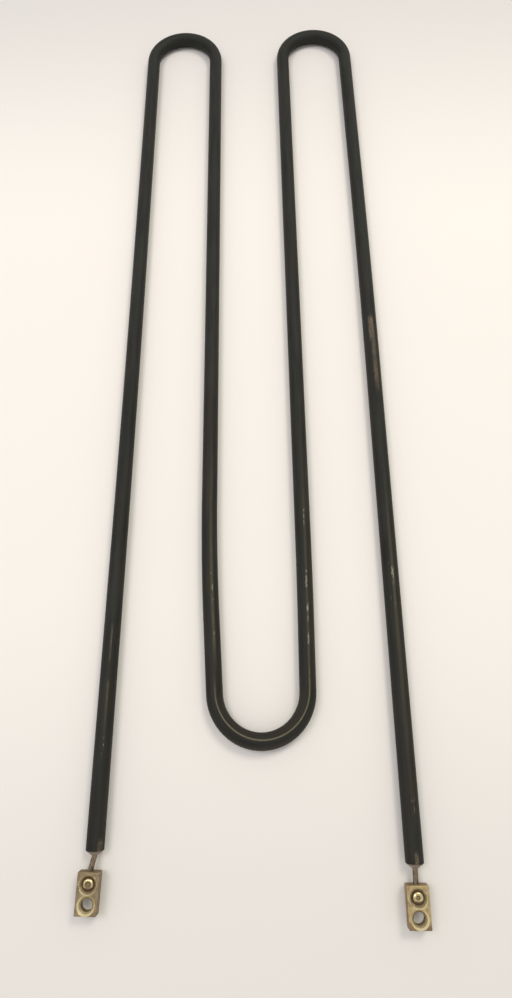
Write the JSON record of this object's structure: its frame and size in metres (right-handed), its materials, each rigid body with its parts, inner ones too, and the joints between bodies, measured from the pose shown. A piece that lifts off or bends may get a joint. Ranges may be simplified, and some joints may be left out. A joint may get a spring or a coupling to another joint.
{
  "type": "tubular heating element",
  "caption": "Tubular heating element: a matte black steel sheath bent flat into an M, with a bare pin and a small brass terminal block with a countersunk screw hole at each cold end.",
  "frame": {"origin": "centre of the element's outline in plan, on the surface that it lies on", "axes": "legs along Y with the terminals at -Y, width along X, up Z"},
  "size_m": [0.159, 0.5678, 0.0085],
  "materials": {
    "sheath_steel": "matte black heat-oxidised steel with rubbed lines",
    "coil_wire": "bare resistance wire",
    "magnesia": "packed matte powder",
    "pin_steel": "dull bare steel, browned",
    "seal_resin": "cast resin, tan",
    "block_brass_left": "tarnished brown, bright at the worn edges",
    "block_brass_right": "satin with light tarnish",
    "screw_brass": "polished dome, tarnished dimple"
  },
  "bodies": {
    "root": {"sheath": "sheath_steel", "heating_coil": "coil_wire", "magnesia_core": "magnesia", "terminal_pin_left": "pin_steel", "terminal_pin_right": "pin_steel", "end_seal_left": "seal_resin", "end_seal_right": "seal_resin", "terminal_block_left": "block_brass_left", "terminal_block_right": "block_brass_right", "clamp_screw_left": "screw_brass", "clamp_screw_right": "screw_brass"}
  },
  "joints": []
}
